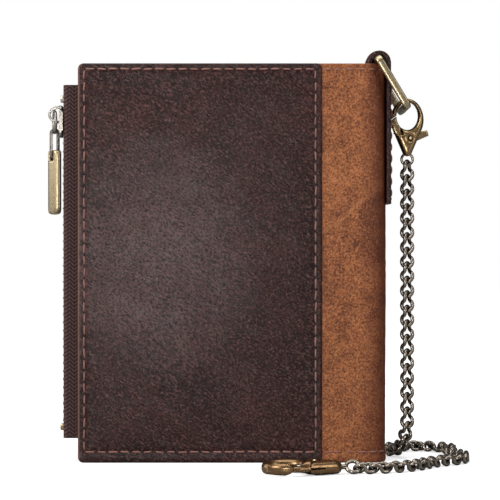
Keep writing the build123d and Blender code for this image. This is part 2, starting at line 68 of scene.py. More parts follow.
cover_low, cover_high = span("front_cover")
back_high = span("back_cover")[1]
spine_low, spine_high = span("spine_band")
band_high = span("front_band")[1]
strap_low, strap_high = span("strap_loop")
tape_low, tape_high = span("zipper_tape_front")
rear_tape_high = span("zipper_tape_rear")[1]
left_x = cover_low[0]
edge_x = cover_high[0]
fold_x = band_high[0]
height = cover_high[2]
front_y = cover_low[1]
back_y = back_high[1]
band_front_y = spine_low[1]
band_back_y = spine_high[1]
mid_y = (band_front_y + band_back_y) / 2
spine_x = spine_high[0]
spine_radius = spine_x - fold_x - 0.1
zip_y = (tape_low[1] + rear_tape_high[1]) / 2
zip_x = tape_low[0] + 0.25

# Leather sizes, in mm
panel_t = 1.55
band_t = 1.1
strap_t = strap_high[0] - spine_x
lining_depth = 1.6
lining_t = 0.4
wall_t = 0.8
seam_side = 2.0
seam_top = 1.8
seam_foot = 3.4
stitch_pitch = 3.5
wrinkle_turn = 38

# ---------------------------------------------------------------- numbers


def noise(points, size, seed):
    """Smooth random values from -1 to 1 at points (n x 2), with features about size mm wide."""
    spots = points / np.asarray(size, float)
    cell = np.floor(spots).astype(np.int64)
    part = spots - cell
    part = part * part * (3 - 2 * part)
    total = np.zeros(len(points))
    for corner in itertools.product((0, 1), repeat=2):
        key = (cell[:, 0] + corner[0]) * 374761393 + (cell[:, 1] + corner[1]) * 668265263
        key = (key + seed * 974634777) & 0xFFFFFFFF
        key = ((key ^ (key >> 13)) * 1274126177) & 0xFFFFFFFF
        value = ((key ^ (key >> 16)) & 0xFFFF) / 32767.5 - 1
        weight = np.where(corner[0], part[:, 0], 1 - part[:, 0])
        weight = weight * np.where(corner[1], part[:, 1], 1 - part[:, 1])
        total += weight * value
    return total


def turned(points, degrees):
    """Points turned about the origin, so that stretched noise can run on a slant."""
    turn = math.radians(degrees)
    cos, sin = math.cos(turn), math.sin(turn)
    return points @ np.array([[cos, sin], [-sin, cos]])


def smooth(value):
    """0 below 0 and 1 above 1, with a soft step between."""
    value = np.clip(value, 0, 1)
    return value * value * (3 - 2 * value)


def bell(value, centre, width):
    """1 at the centre, falling to 0 on both sides over about the width."""
    return np.exp(-(((value - centre) / width) ** 2))


def unit(vector):
    """A vector of length 1."""
    vector = np.asarray(vector, float)
    return vector / np.linalg.norm(vector)


# ---------------------------------------------------------------- meshes


def make_object(name, *parts):
    """A smooth-shaded mesh object from one or more (points in mm, faces) parts."""
    points = np.vstack([part[0] for part in parts]) * MM
    faces = []
    start = 0
    for part_points, part_faces in parts:
        faces += [[int(corner) + start for corner in face] for face in part_faces]
        start += len(part_points)
    mesh = bpy.data.meshes.new(name)
    mesh.from_pydata(points.tolist(), [], faces)
    shell = bmesh.new()
    shell.from_mesh(mesh)
    bmesh.ops.recalc_face_normals(shell, faces=shell.faces)
    shell.to_mesh(mesh)
    shell.free()
    mesh.shade_smooth()
    thing = bpy.data.objects.new(name, mesh)
    bpy.context.scene.collection.objects.link(thing)
    return thing


def grid_faces(columns, rows, start=0, flip=False):
    """Quads of a columns x rows grid of points, numbered row by row."""
    row, column = np.meshgrid(np.arange(rows - 1), np.arange(columns - 1), indexing="ij")
    first = (start + row * columns + column).ravel()
    quads = np.stack([first, first + 1, first + columns + 1, first + columns], axis=1)
    return quads[:, ::-1] if flip else quads


def border_ring(columns, rows):
    """The numbers of a grid's border points, in order round it."""
    bottom = list(range(columns))
    right = [columns - 1 + columns * i for i in range(1, rows)]
    top = [columns * rows - 1 - i for i in range(1, columns)]
    left = [columns * (rows - 1 - i) for i in range(1, rows - 1)]
    return bottom + right + top + left


def closed_pair(columns, rows):
    """Faces of two matching grids, back to back, joined round their borders."""
    count = columns * rows
    ring = np.array(border_ring(columns, rows))
    after = np.roll(ring, -1)
    wall = np.stack([ring, ring + count, after + count, after], axis=1)
    return np.vstack([grid_faces(columns, rows), grid_faces(columns, rows, count, True), wall])


def spaced(low, high, step, roll):
    """Values from low to high about a step apart, closer together inside a roll at each end."""
    ends = np.array([0, 0.06, 0.16, 0.32, 0.55, 0.8]) * roll
    count = max(2, int(round((high - low - 2 * roll) / step)))
    middle = np.linspace(low + roll, high - roll, count + 1)
    return np.concatenate([low + ends, middle, high - ends[::-1]])


def round_corners(x, z, x_span, z_span, corner):
    """Moves the points in a rectangle's corners so that its outline gets round corners."""
    near_x = np.minimum(x - x_span[0], x_span[1] - x)
    near_z = np.minimum(z - z_span[0], z_span[1] - z)
    inside = (near_x < corner) & (near_z < corner)
    dx = np.where(inside, corner - near_x, 1.0)
    dz = np.where(inside, corner - near_z, 1.0)
    pull = np.where(inside, np.maximum(dx, dz) / np.maximum(np.hypot(dx, dz), 1e-9), 1.0)
    side_x = np.where(x < (x_span[0] + x_span[1]) / 2, 1.0, -1.0)
    side_z = np.where(z < (z_span[0] + z_span[1]) / 2, 1.0, -1.0)
    x = np.where(inside, x + side_x * dx * (1 - pull), x)
    z = np.where(inside, z + side_z * dz * (1 - pull), z)
    depth = np.where(inside, corner - np.hypot(dx * pull, dz * pull), np.minimum(near_x, near_z))
    return x, z, np.maximum(depth, 0)


def rolled(depth, roll):
    """How far the surface falls away towards an edge, depth mm from it."""
    t = np.clip(1 - depth / roll, 0, 1)
    return roll * (1 - np.sqrt(np.clip(1 - t * t, 0, 1)))


def sheet(x_span, z_span, outer_y, inner_y, roll=0.2, corner=0.01, step=2.5, relief=None):
    """A closed standing sheet with rolled edges; relief(points, depth) lifts its outer face."""
    inward = 1 if inner_y > outer_y else -1
    x, z = np.meshgrid(spaced(*x_span, step, roll), spaced(*z_span, step, roll))
    rows, columns = x.shape
    x, z, depth = round_corners(x.ravel(), z.ravel(), x_span, z_span, corner)
    lift = relief(np.stack([x, z], axis=1), depth) if relief else np.zeros(len(x))
    outer = outer_y + inward * (rolled(depth, roll) - lift)
    inner = inner_y - inward * 0.3 * rolled(depth, roll)
    points = np.vstack([np.stack([x, outer, z], axis=1), np.stack([x, inner, z], axis=1)])
    return points, closed_pair(columns, rows)


def outward(path):
    """The left-hand normals of a path of (x, y) points."""
    ahead = np.gradient(np.asarray(path, float), axis=0)
    ahead /= np.linalg.norm(ahead, axis=1)[:, None]
    return np.column_stack([-ahead[:, 1], ahead[:, 0]])


def ribbon(path, side, level_span, thickness, roll, step=1.2, relief=None, lying=False):
    """A closed strip: a path of points drawn along the third axis, its outer face to one side.

    The path is (x, y) and the strip runs along Z; if lying, it is (x, z) and runs along Y.
    """
    path = np.asarray(path, float)
    out = outward(path) * side
    length = np.concatenate([[0], np.cumsum(np.linalg.norm(np.diff(path, axis=0), axis=1))])
    levels = spaced(*level_span, step, roll)
    columns, rows = len(path), len(levels)
    along, level = np.tile(length, rows), np.repeat(levels, columns)
    base, normal = np.tile(path, (rows, 1)), np.tile(out, (rows, 1))
    depth = np.minimum(level - level_span[0], level_span[1] - level)
    lift = relief(np.stack([along, level], axis=1), depth) if relief else np.zeros(len(along))
    outer = base + normal * (lift - rolled(depth, roll))[:, None]
    inner = base - normal * (thickness - 0.3 * rolled(depth, roll))[:, None]
    points = np.vstack([np.column_stack([outer, level]), np.column_stack([inner, level])])
    if lying:
        points = points[:, [0, 2, 1]]
    return points, closed_pair(columns, rows)


def walk(corners, step=0.6):
    """Points about a step apart along a polyline."""
    points = []
    for start, end in itertools.pairwise(np.asarray(corners, float)):
        count = max(1, int(round(np.linalg.norm(end - start) / step)))
        points += [start + (end - start) * i / count for i in range(count)]
    return np.array(points + [np.asarray(corners[-1], float)])


def arc(centre, radius, start, end, step=0.6):
    """Points about a step apart along an arc; angles in degrees."""
    count = max(2, int(round(radius * abs(math.radians(end - start)) / step)))
    angles = np.radians(np.linspace(start, end, count + 1))
    return np.asarray(centre, float) + radius * np.column_stack([np.cos(angles), np.sin(angles)])


def tube_points(centres, sideways, radius_a, radius_b, sides, twist=0.0):
    """Rings of points round a line of centres, oval and twisted along it."""
    ahead = np.gradient(centres, axis=0)
    ahead /= np.linalg.norm(ahead, axis=1)[:, None]
    side = np.cross(ahead, sideways)
    side /= np.linalg.norm(side, axis=1)[:, None]
    up = np.cross(side, ahead)
    angle = np.linspace(0, 2 * math.pi, sides, endpoint=False)
    rings = []
    for i, centre in enumerate(centres):
        turn = angle + twist * i
        ring = np.outer(np.cos(turn) * radius_a[i], side[i])
        ring = ring + np.outer(np.sin(turn) * radius_b[i], up[i])
        rings.append(centre + ring)
    return np.vstack(rings)


def tube_faces(count, sides, start=0):
    """Quads and end caps of a tube of rings."""
    faces = []
    for i in range(count - 1):
        for k in range(sides):
            a = start + i * sides + k
            b = start + i * sides + (k + 1) % sides
            faces.append([a, b, b + sides, a + sides])
    faces.append([start + k for k in range(sides)][::-1])
    faces.append([start + (count - 1) * sides + k for k in range(sides)])
    return faces


def stitch_row(start, end, out):
    """Evenly spaced stitch places, (centre, direction, outward), along a straight line in mm."""
    start, end = np.asarray(start, float), np.asarray(end, float)
    count = max(1, int(round(np.linalg.norm(end - start) / stitch_pitch)))
    ahead = unit(end - start)
    return [(start + (end - start) * (i + 0.5) / count, ahead, unit(out)) for i in range(count)]


def stitches(places, length=2.7, radius=0.24):
    """Thread stitches as one part, each dipping into the leather at both ends, none quite alike."""
    points, faces = [], []
    spread = np.linspace(-1, 1, 9)
    sides = 8
    chance = np.random.default_rng(7)
    for centre, ahead, out in places:
        lean, size, shift = chance.normal(0, 1, 3)
        across = np.cross(out, ahead)
        ahead = unit(ahead + 0.05 * lean * across)
        half = length * (1 + 0.06 * size) / 2
        arch = (0.16 - 0.42 * np.abs(spread) ** 2.6)[:, None] * out
        line = centre + 0.05 * shift * across + spread[:, None] * ahead * half + arch
        width = radius * (1.08 - 0.35 * spread**4) * (1 + 0.08 * size)
        faces += tube_faces(len(line), sides, len(points) * len(line) * sides)
        points.append(tube_points(line, out, width, width * 0.8, sides, 0.35))
    return np.vstack(points), faces


def awl_holes(places, width=0.62):
    """Painted shade for the holes between the stitches: shallow rounded plugs in the leather, to be
    coloured near black.
    """
    plugs = []
    for centre, ahead, out in places:
        size = np.abs(ahead) * width + np.abs(out) * 0.24 + np.abs(np.cross(out, ahead)) * width * 0.7
        plugs.append(pebble(centre + ahead * stitch_pitch / 2 - out * 0.02, size, 0.8, 5, 8))
    return plugs


def pebble(centre, size, power=0.35, rings=9, sides=16):
    """A rounded block: size is its full width along each axis."""
    up = np.linspace(-math.pi / 2, math.pi / 2, rings)
    around = np.linspace(0, 2 * math.pi, sides, endpoint=False)

    def squared(value):
        """A sine or cosine with its curve pushed out towards a block's corner."""
        return np.sign(value) * np.abs(value) ** power

    x = np.outer(squared(np.cos(up)), squared(np.cos(around))).ravel()
    y = np.outer(squared(np.cos(up)), squared(np.sin(around))).ravel()
    z = np.repeat(squared(np.sin(up)), sides)
    points = np.asarray(centre, float) + np.column_stack([x, y, z]) * np.asarray(size, float) / 2
    return points, tube_faces(rings, sides)


def cast(node, cell=0.12, rounds=4):
    """A CAD node's shape as a dense mesh with softened edges, as cast metal has."""
    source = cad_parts[node]
    mesh = source.data.copy()
    mesh.transform(((1000, 0, 0, 0), (0, 1000, 0, 0), (0, 0, 1000, 0), (0, 0, 0, 1)))
    mesh.materials.clear()
    rough = bpy.data.objects.new(node + "_rough", mesh)
    bpy.context.scene.collection.objects.link(rough)
    weld = rough.modifiers.new("weld", "WELD")
    weld.merge_threshold = 0.001
    remesh = rough.modifiers.new("remesh", "REMESH")
    remesh.mode = "VOXEL"
    remesh.voxel_size = cell
    soften = rough.modifiers.new("soften", "SMOOTH")
    soften.factor = 0.5
    soften.iterations = rounds
    bpy.context.view_layer.update()
    shape = rough.evaluated_get(bpy.context.evaluated_depsgraph_get())
    result = bpy.data.meshes.new_from_object(shape)
    bpy.data.objects.remove(rough)
    result.transform(((MM, 0, 0, 0), (0, MM, 0, 0), (0, 0, MM, 0), (0, 0, 0, 1)))
    result.shade_smooth()
    thing = bpy.data.objects.new(node + "_cast", result)
    bpy.context.scene.collection.objects.link(thing)
    return thing


def dome(thing, reach, flat=0.0, ridge=0.0):
    """Rounds a flat casting's faces down towards its outline, over about reach mm.

    The faces keep the share flat of their height at the very edge. A ridge, in mm, is raised
    along the middle of each face.
    """
    points = np.array([vertex.co[:] for vertex in thing.data.vertices]) / MM
    middle = (points.min(axis=0) + points.max(axis=0)) / 2
    axes = np.linalg.svd(points - points.mean(axis=0), full_matrices=False)[2]
    thin = axes[2]
    aside = np.abs((points - middle) @ axes[1])
    level = (points - middle) @ thin
    centre = (level.min() + level.max()) / 2
    half = (level.max() - level.min()) / 2
    level = level - centre
    slope = np.abs(np.array([vertex.normal[:] for vertex in thing.data.vertices]) @ thin)
    flattened = points - np.outer(level, thin)
    outline = (np.abs(level) > 0.6 * half) & (np.abs(level) < 0.93 * half)
    walls = np.flatnonzero((slope < 0.6) & outline)
    tree = KDTree(len(walls))
    for place, index in enumerate(walls):
        tree.insert(flattened[index], place)
    tree.balance()
    away = np.array([tree.find(spot)[2] for spot in flattened])
    share = np.sqrt(np.clip(1 - np.clip(1 - away / reach, 0, 1) ** 2, 0, 1))
    share = flat + (1 - flat) * share
    raised = level * share + np.sign(level) * share * ridge * (1 - aside / aside.max())
    points = flattened + np.outer(raised, thin)
    for vertex, place in zip(thing.data.vertices, points):
        vertex.co = place * MM
    soften = thing.modifiers.new("soften", "SMOOTH")
    soften.factor = 0.5
    soften.iterations = 12


def swell(thing, amount):
    """Makes a wire-like piece stouter by amount mm all round."""
    push = thing.modifiers.new("swell", "DISPLACE")
    push.strength = amount * MM
    push.mid_level = 0.0


# ---------------------------------------------------------------- materials


def colour(red, green, blue):
    """A linear colour from display values of 0 to 255."""
    channels = [value / 255 for value in (red, green, blue)]
    return [v / 12.92 if v < 0.04045 else ((v + 0.055) / 1.055) ** 2.4 for v in channels] + [1.0]


class Graph:
    """A material's node graph, built in short calls. Its place is in mm, in the frame's axes."""

    def __init__(self, name):
        self.material = bpy.data.materials.new(name)
        self.material.use_nodes = True
        self.tree = self.material.node_tree
        self.surface = self.tree.nodes["Principled BSDF"]
        where = self.tree.nodes.new("ShaderNodeTexCoord")
        self.place = self.vector("MULTIPLY", where.outputs["Object"], (1000, 1000, 1000))

    def node(self, kind, **settings):
        made = self.tree.nodes.new(kind)
        for name, value in settings.items():
            setattr(made, name, value)
        return made

    def join(self, source, target):
        if isinstance(source, bpy.types.NodeSocket):
            self.tree.links.new(source, target)
        else:
            target.default_value = source

    def math(self, operation, *values):
        made = self.node("ShaderNodeMath", operation=operation)
        for value, target in zip(values, made.inputs):
            self.join(value, target)
        return made.outputs[0]

    def vector(self, operation, *values):
        made = self.node("ShaderNodeVectorMath", operation=operation)
        for value, target in zip(values, made.inputs):
            self.join(value, target)
        return made.outputs[0]

    def axes(self, place=None):
        """The x, y and z of a place."""
        made = self.node("ShaderNodeSeparateXYZ")
        self.join(place or self.place, made.inputs[0])
        return made.outputs

    def slanted(self, scale, turn):
        """The place turned about Y by degrees, then divided by a size in mm along each axis."""
        made = self.node("ShaderNodeMapping", vector_type="TEXTURE")
        self.join(self.place, made.inputs["Vector"])
        made.inputs["Rotation"].default_value = (0, math.radians(turn), 0)
        made.inputs["Scale"].default_value = scale
        return made.outputs[0]

    def noise(self, size, detail=2.0, rough=0.5, warp=0.0, place=None):
        made = self.node("ShaderNodeTexNoise")
        self.join(place or self.place, made.inputs["Vector"])
        made.inputs["Scale"].default_value = 1 / size
        made.inputs["Detail"].default_value = detail
        made.inputs["Roughness"].default_value = rough
        made.inputs["Distortion"].default_value = warp
        return made.outputs["Fac"]

    def cells(self, size, feature="F1", place=None):
        made = self.node("ShaderNodeTexVoronoi", feature=feature)
        self.join(place or self.place, made.inputs["Vector"])
        made.inputs["Scale"].default_value = 1 / size
        return made.outputs["Distance"]

    def ramp(self, value, *stops):
        """Maps a value through (position, grey or colour) stops."""
        made = self.node("ShaderNodeValToRGB")
        self.join(value, made.inputs[0])
        marks = made.color_ramp.elements
        while len(marks) < len(stops):
            marks.new(0.5)
        for mark, (position, shade) in zip(marks, stops):
            mark.position = position
            mark.color = shade if isinstance(shade, list) else [shade, shade, shade, 1.0]
        return made.outputs[0]

    def mix(self, share, first, second, blend="MIX"):
        made = self.node("ShaderNodeMix", data_type="RGBA", blend_type=blend)
        for value, index in ((share, 0), (first, 6), (second, 7)):
            self.join(value, made.inputs[index])
        return made.outputs[2]

    def bump(self, height, depth, under=None):
        """A normal from a height of 0 to 1 that stands for depth mm."""
        made = self.node("ShaderNodeBump")
        made.inputs["Strength"].default_value = 1.0
        self.join(height, made.inputs["Height"])
        made.inputs["Distance"].default_value = depth * MM
        if under:
            self.join(under, made.inputs["Normal"])
        return made.outputs[0]

    def done(self, base, rough, normal=None, **extra):
        inputs = self.surface.inputs
        self.join(base, inputs["Base Color"])
        self.join(rough, inputs["Roughness"])
        if normal:
            self.join(normal, inputs["Normal"])
        for name, value in extra.items():
            self.join(value, inputs[name.replace("_", " ")])
        return self.material


def grain(graph, size, depth, under=None):
    """Leather's pebbled grain and its pores."""
    pebbles = graph.cells(size, "SMOOTH_F1")
    pores = graph.ramp(graph.cells(size * 2.3), (0.0, 0.0), (0.16, 1.0))
    pebbles = graph.math("MULTIPLY", pebbles, -0.7)
    height = graph.math("ADD", pebbles, graph.math("MULTIPLY", pores, 0.4))
    return graph.bump(height, depth, under)


def dark_leather():
    """Coffee-brown pull-up leather, paler in its scuffs, with painted highlights as paler colour across
    the middle and along the left edge.
    """
    graph = Graph("dark_leather")
    x, y, z = graph.axes()
    tone = graph.noise(19, 3, 0.55, 0.6)
    deep, middling, light = colour(33, 15, 13), colour(42, 20, 18), colour(56, 29, 26)
    base = graph.ramp(tone, (0.3, deep), (0.5, middling), (0.72, light))
    # Painted highlight: a paler, greyer patch centred left of the middle at mid-height, broken up by
    # noise, stands in for the cover's sheen.
    off_x = graph.math("DIVIDE", graph.math("ADD", x, 25.0), 36.0)
    off_z = graph.math("DIVIDE", graph.math("SUBTRACT", z, height / 2 + 2.0), 40.0)
    off = graph.math("ADD", graph.math("MULTIPLY", off_x, off_x), graph.math("MULTIPLY", off_z, off_z))
    wear_and_sheen = graph.ramp(off, (0.0, 0.62), (0.4, 0.36), (1.0, 0.0))
    patchy = graph.ramp(graph.noise(12, 3, 0.5, 0.5), (0.3, 0.5), (0.65, 1.0))
    wear_and_sheen = graph.math("MULTIPLY", wear_and_sheen, patchy)
    base = graph.mix(wear_and_sheen, base, colour(100, 84, 83))
    scuff = graph.noise(1, 4, 0.6, 0.3, graph.slanted((9, 9, 1.1), wrinkle_turn))
    scuff = graph.ramp(scuff, (0.60, 0.0), (0.78, 1.0))
    base = graph.mix(graph.math("MULTIPLY", scuff, 0.4), base, colour(112, 74, 68))
    crepe = graph.noise(1, 3, 0.65, 0.5, graph.slanted((0.9, 0.9, 0.5), wrinkle_turn))
    # The crepe grain's colour is darker in its furrows and paler on its crests. This is partly grain
    # tone, and partly painted shade in the furrows and a painted highlight on the crests.
    base = graph.mix(graph.ramp(crepe, (0.38, 0.85), (0.52, 0.0)), base, colour(16, 7, 6))
    base = graph.mix(graph.ramp(crepe, (0.52, 0.0), (0.66, 0.6)), base, colour(104, 74, 69))
    # Painted highlight: a pale line along the rolled left edge, within about a millimetre of it.
    from_edge = graph.math("DIVIDE", graph.math("SUBTRACT", x, left_x), 2.0)
    edge_highlight = graph.ramp(from_edge, (0.15, 1.0), (0.4, 0.0))
    base = graph.mix(graph.math("MULTIPLY", edge_highlight, 0.55), base, colour(128, 96, 88))
    wrinkles = graph.noise(1, 3, 0.6, 0.8, graph.slanted((7, 7, 1.3), 35))
    creases = graph.math("ABSOLUTE", graph.math("SUBTRACT", wrinkles, 0.5))
    creases = graph.ramp(creases, (0.0, 0.0), (0.05, 1.0))
    normal = graph.bump(graph.noise(9, 3, 0.5, 0.5), 0.22)
    normal = graph.bump(creases, 0.024, normal)
    normal = graph.bump(crepe, 0.09, normal)
    normal = grain(graph, 0.6, 0.025, normal)
    rough = graph.ramp(graph.noise(5, 4), (0.3, 0.26), (0.7, 0.38))
    return graph.done(base, rough, normal, Specular_IOR_Level=0.17)


def tan_leather():
    """Waxed tan leather, speckled and patched, darker round the spine, partly with painted shade where
    the band turns away from the light.
    """
    graph = Graph("tan_leather")
    x, y, z = graph.axes()
    patch = graph.noise(11, 5, 0.6, 0.8)
    deep, middling, light = colour(88, 46, 28), colour(136, 80, 47), colour(162, 100, 61)
    base = graph.ramp(patch, (0.32, deep), (0.47, middling), (0.66, light))
    cloud = graph.ramp(graph.noise(2.6, 4, 0.7, 0.4), (0.38, 1.0), (0.55, 0.0))
    base = graph.mix(graph.math("MULTIPLY", cloud, 0.45), base, colour(86, 44, 27))
    speck = graph.noise(0.6, 3, 0.7, 0.3)
    base = graph.mix(graph.ramp(speck, (0.38, 0.7), (0.52, 0.0)), base, colour(60, 28, 17))
    base = graph.mix(graph.ramp(speck, (0.52, 0.0), (0.66, 0.4)), base, colour(198, 136, 92))
    slope = graph.math("ADD", graph.math("MULTIPLY", x, 0.62), graph.math("MULTIPLY", z, -0.78))
    wobble = graph.math("MULTIPLY", graph.noise(5, 2), 2.4)
    stroke = graph.math("ABSOLUTE", graph.math("ADD", graph.math("ADD", slope, wobble), 36.4))
    stroke = graph.ramp(graph.math("DIVIDE", stroke, 4.0), (0.05, 1.0), (0.2, 0.0))
    base = graph.mix(graph.math("MULTIPLY", stroke, 0.22), base, colour(184, 126, 82))
    # Darker and redder round the spine fold: partly the leather's own tone, partly painted shade where
    # the band turns away from the light.
    spine_tone_and_shade = graph.math("DIVIDE", graph.math("SUBTRACT", x, fold_x - 4.0), 11.0)
    spine_tone_and_shade = graph.ramp(spine_tone_and_shade, (0.1, 0.0), (0.95, 1.0))
    base = graph.mix(graph.math("MULTIPLY", spine_tone_and_shade, 0.85), base, colour(72, 29, 17))
    normal = graph.bump(graph.noise(6, 3, 0.5, 0.5), 0.16)
    normal = graph.bump(speck, 0.1, normal)
    normal = grain(graph, 0.5, 0.05, normal)
    rough = graph.ramp(patch, (0.3, 0.46), (0.7, 0.62))
    return graph.done(base, rough, normal, Specular_IOR_Level=0.18)


def inner_leather():
    """Thin split leather inside the wallet."""
    graph = Graph("inner_leather")
    base = graph.ramp(graph.noise(14, 4, 0.6), (0.3, colour(70, 44, 36)), (0.7, colour(96, 62, 50)))
    normal = grain(graph, 0.55, 0.04, graph.bump(graph.noise(7, 3), 0.12))
    return graph.done(base, graph.ramp(graph.noise(4), (0.3, 0.5), (0.7, 0.66)), normal)


def woven(name, dark, light, pitch, slant):
    """A woven cloth of fine yarns; slant gives its ribs a herringbone."""
    graph = Graph(name)
    x, y, z = graph.axes()
    across = graph.math("ADD", x, y)
    fold = graph.math("PINGPONG", across, 1.5)
    rise = graph.math("ADD", z, graph.math("MULTIPLY", fold, slant))
    rib = graph.math("SINE", graph.math("MULTIPLY", rise, 2 * math.pi / pitch))
    yarn = graph.math("SINE", graph.math("MULTIPLY", across, 2 * math.pi / (pitch * 0.8)))
    height = graph.math("ADD", graph.math("MULTIPLY", rib, 0.35), graph.math("MULTIPLY", yarn, 0.15))
    height = graph.math("ADD", height, 0.5)
    fibre = graph.math("ADD", graph.noise(0.25, 2), 0.4)
    share = graph.ramp(graph.math("MULTIPLY", height, fibre), (0.2, 0.0), (0.75, 1.0))
    base = graph.mix(share, dark, light)
    return graph.done(base, 0.85, graph.bump(height, 0.1), Sheen_Weight=0.1, Specular_IOR_Level=0.25)


def thread():
    """Waxed dusty-rose thread, laid up from plies."""
    graph = Graph("thread")
    x, y, z = graph.axes()
    along = graph.math("ADD", graph.math("ADD", x, z), graph.math("MULTIPLY", y, 0.8))
    ply = graph.math("SINE", graph.math("MULTIPLY", along, 2 * math.pi / 0.42))
    height = graph.math("ADD", graph.math("MULTIPLY", ply, 0.5), 0.5)
    tone = graph.mix(graph.noise(3, 3), colour(112, 66, 56), colour(172, 118, 102))
    base = graph.mix(graph.math("MULTIPLY", height, 0.4), tone, colour(84, 48, 41))
    return graph.done(base, 0.6, graph.bump(height, 0.06), Sheen_Weight=0.2)


def metal(name, bright, dark, wear_and_sheen, rough, tarnish, pitted):
    """Cast or drawn metal: patina in the recesses, rubbed bright on the edges."""
    graph = Graph(name)
    shade = graph.node("ShaderNodeAmbientOcclusion", samples=8)
    shade.inputs["Distance"].default_value = 1.1 * MM
    recess = graph.ramp(shade.outputs["AO"], (0.35, 1.0), (0.85, 0.0))
    point = graph.node("ShaderNodeNewGeometry").outputs["Pointiness"]
    edge = graph.ramp(point, (0.53, 0.0), (0.62, 1.0))
    stain = graph.ramp(graph.noise(1.7, 5, 0.65, 0.6), (0.42, 0.0), (0.68, 1.0))
    cover = graph.math("MAXIMUM", recess, graph.math("MULTIPLY", stain, tarnish))
    base = graph.mix(cover, bright, dark)
    base = graph.mix(graph.math("MULTIPLY", edge, 0.8), base, wear_and_sheen)
    level = graph.math("ADD", graph.math("MULTIPLY", cover, 0.22), rough)
    level = graph.math("ADD", level, graph.math("MULTIPLY", graph.noise(0.6, 4), 0.1))
    normal = graph.bump(graph.noise(1.6, 3), 0.03 * pitted)
    normal = graph.bump(graph.noise(0.5, 4, 0.6), 0.012 * pitted, normal)
    return graph.done(base, level, normal, Metallic=1.0)


def film():
    """Clear vinyl."""
    graph = Graph("film")
    base = colour(236, 238, 236)
    waves = graph.bump(graph.noise(12, 2), 0.08)
    return graph.done(base, 0.12, waves, Alpha=0.28, Specular_IOR_Level=0.7)


# Each metal's display colours when bright, tarnished and rubbed, its roughness, and how much
# of it is tarnished and pitted
metal_looks = {
    "zip_metal": ((160, 152, 142), (66, 58, 52), (228, 222, 214), 0.22, 0.5, 1.0),
    "nickel": ((146, 140, 132), (62, 55, 49), (236, 232, 226), 0.2, 0.25, 0.5),
    "brass": ((150, 126, 92), (62, 46, 30), (226, 206, 164), 0.2, 0.4, 0.15),
    "antique": ((178, 162, 130), (88, 70, 48), (240, 230, 204), 0.22, 0.3, 0.15),
    "bronze": ((142, 132, 120), (42, 35, 29), (234, 226, 210), 0.18, 0.35, 0.3),
    "dark_bronze": ((132, 104, 74), (50, 35, 24), (214, 190, 150), 0.2, 0.4, 0.15),
    "spring_steel": ((170, 170, 168), (90, 88, 84), (220, 220, 218), 0.3, 0.5, 1.0),
}
materials = {
    "dark_leather": dark_leather(),
    "tan_leather": tan_leather(),
    "inner_leather": inner_leather(),
    "thread": thread(),
    "lining": woven("lining", colour(34, 26, 24), colour(62, 50, 44), 0.5, 0.0),
    "tape": woven("tape", colour(24, 15, 15), colour(80, 54, 50), 1.2, 0.9),
    "film": film(),
    # A near-black colour, painted shade for the stitch holes.
    "hole_shade": Graph("hole_shade").done(colour(20, 10, 9), 0.8),
}
for name, (bright, dark, wear_and_sheen, rough, tarnish, pitted) in metal_looks.items():
    shades = (colour(*bright), colour(*dark), colour(*wear_and_sheen))
    materials[name] = metal(name, *shades, rough, tarnish, pitted)


def dress(thing, slot, body, *nodes, look=None):
    """Gives a piece its material and the body it rides on, and hides the CAD nodes that it stands for.
    """
    thing.data.materials.append(materials[look or slot])
    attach(thing, body)
    if nodes:
        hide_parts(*nodes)
    return thing


def bend(thing, slot, bodies, start_x, end_x, *nodes):
    """Gives a piece its material, bakes its place into its mesh and hides the CAD nodes that it stands
    for; the bodies and the two x values are not used.
    """
    thing.data.materials.append(materials[slot])
    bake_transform(thing)
    if nodes:
        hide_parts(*nodes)
    return thing


# ---------------------------------------------------------------- the covers and the band

seam_low_x = left_x + seam_side
seam_high_x = edge_x - seam_side
seam_high_z = height - seam_top


def cover_relief(points, depth):
    """How far a cover's face stands out: its crown, seam groove, puckers, bead and folded edge."""
    x, z = points.T
    past_x = np.abs(x - (seam_low_x + seam_high_x) / 2) - (seam_high_x - seam_low_x) / 2
    past_z = np.abs(z - (seam_foot + seam_high_z) / 2) - (seam_high_z - seam_foot) / 2
    seam = np.abs(np.maximum(past_x, past_z))
    along = np.where(past_x > past_z, z, x)
    pucker = np.cos(2 * math.pi * along / stitch_pitch)
    lift = 0.4 * smooth(depth / 24)
    lift += 0.2 * bell(z, 1.3, 1.1) + 0.22 * bell(x, edge_x - 0.9, 1.2)
    lift -= 0.2 * bell(seam, 0, 0.55) + 0.05 * pucker * bell(seam, 0.7, 1.0)
    lift += 0.3 * noise(points, (26, 52), 3) * smooth(depth / 10)
    lift += 0.1 * noise(turned(points, wrinkle_turn), (20, 5), 5) * smooth(depth / 6)
    lift += 0.035 * noise(turned(points, 35), (9, 1.4), 7) * smooth(depth / 4)
    return lift


def on_cover(places, outer_y, inward):
    """Seam places set on the cover's face."""
    spots = np.array([[centre[0], centre[2]] for centre, ahead, out in places])
    lift = cover_relief(spots, np.full(len(spots), seam_side))
    return [
        (np.array([centre[0], outer_y - inward * (rise + 0.12), centre[2]]), ahead, out)
        for (centre, ahead, out), rise in zip(places, lift)
    ]


def seam_places(outer_y, inward):
    """The lockstitches round a cover."""
    out = (0, -inward, 0)
    corners = [
        (seam_low_x, 0, seam_foot),
        (seam_high_x, 0, seam_foot),
        (seam_high_x, 0, seam_high_z),
        (seam_low_x, 0, seam_high_z),
    ]
    places = []
    for start, end in zip(corners, corners[1:] + corners[:1]):
        places += stitch_row(start, end, out)
    return on_cover(places, outer_y, inward)


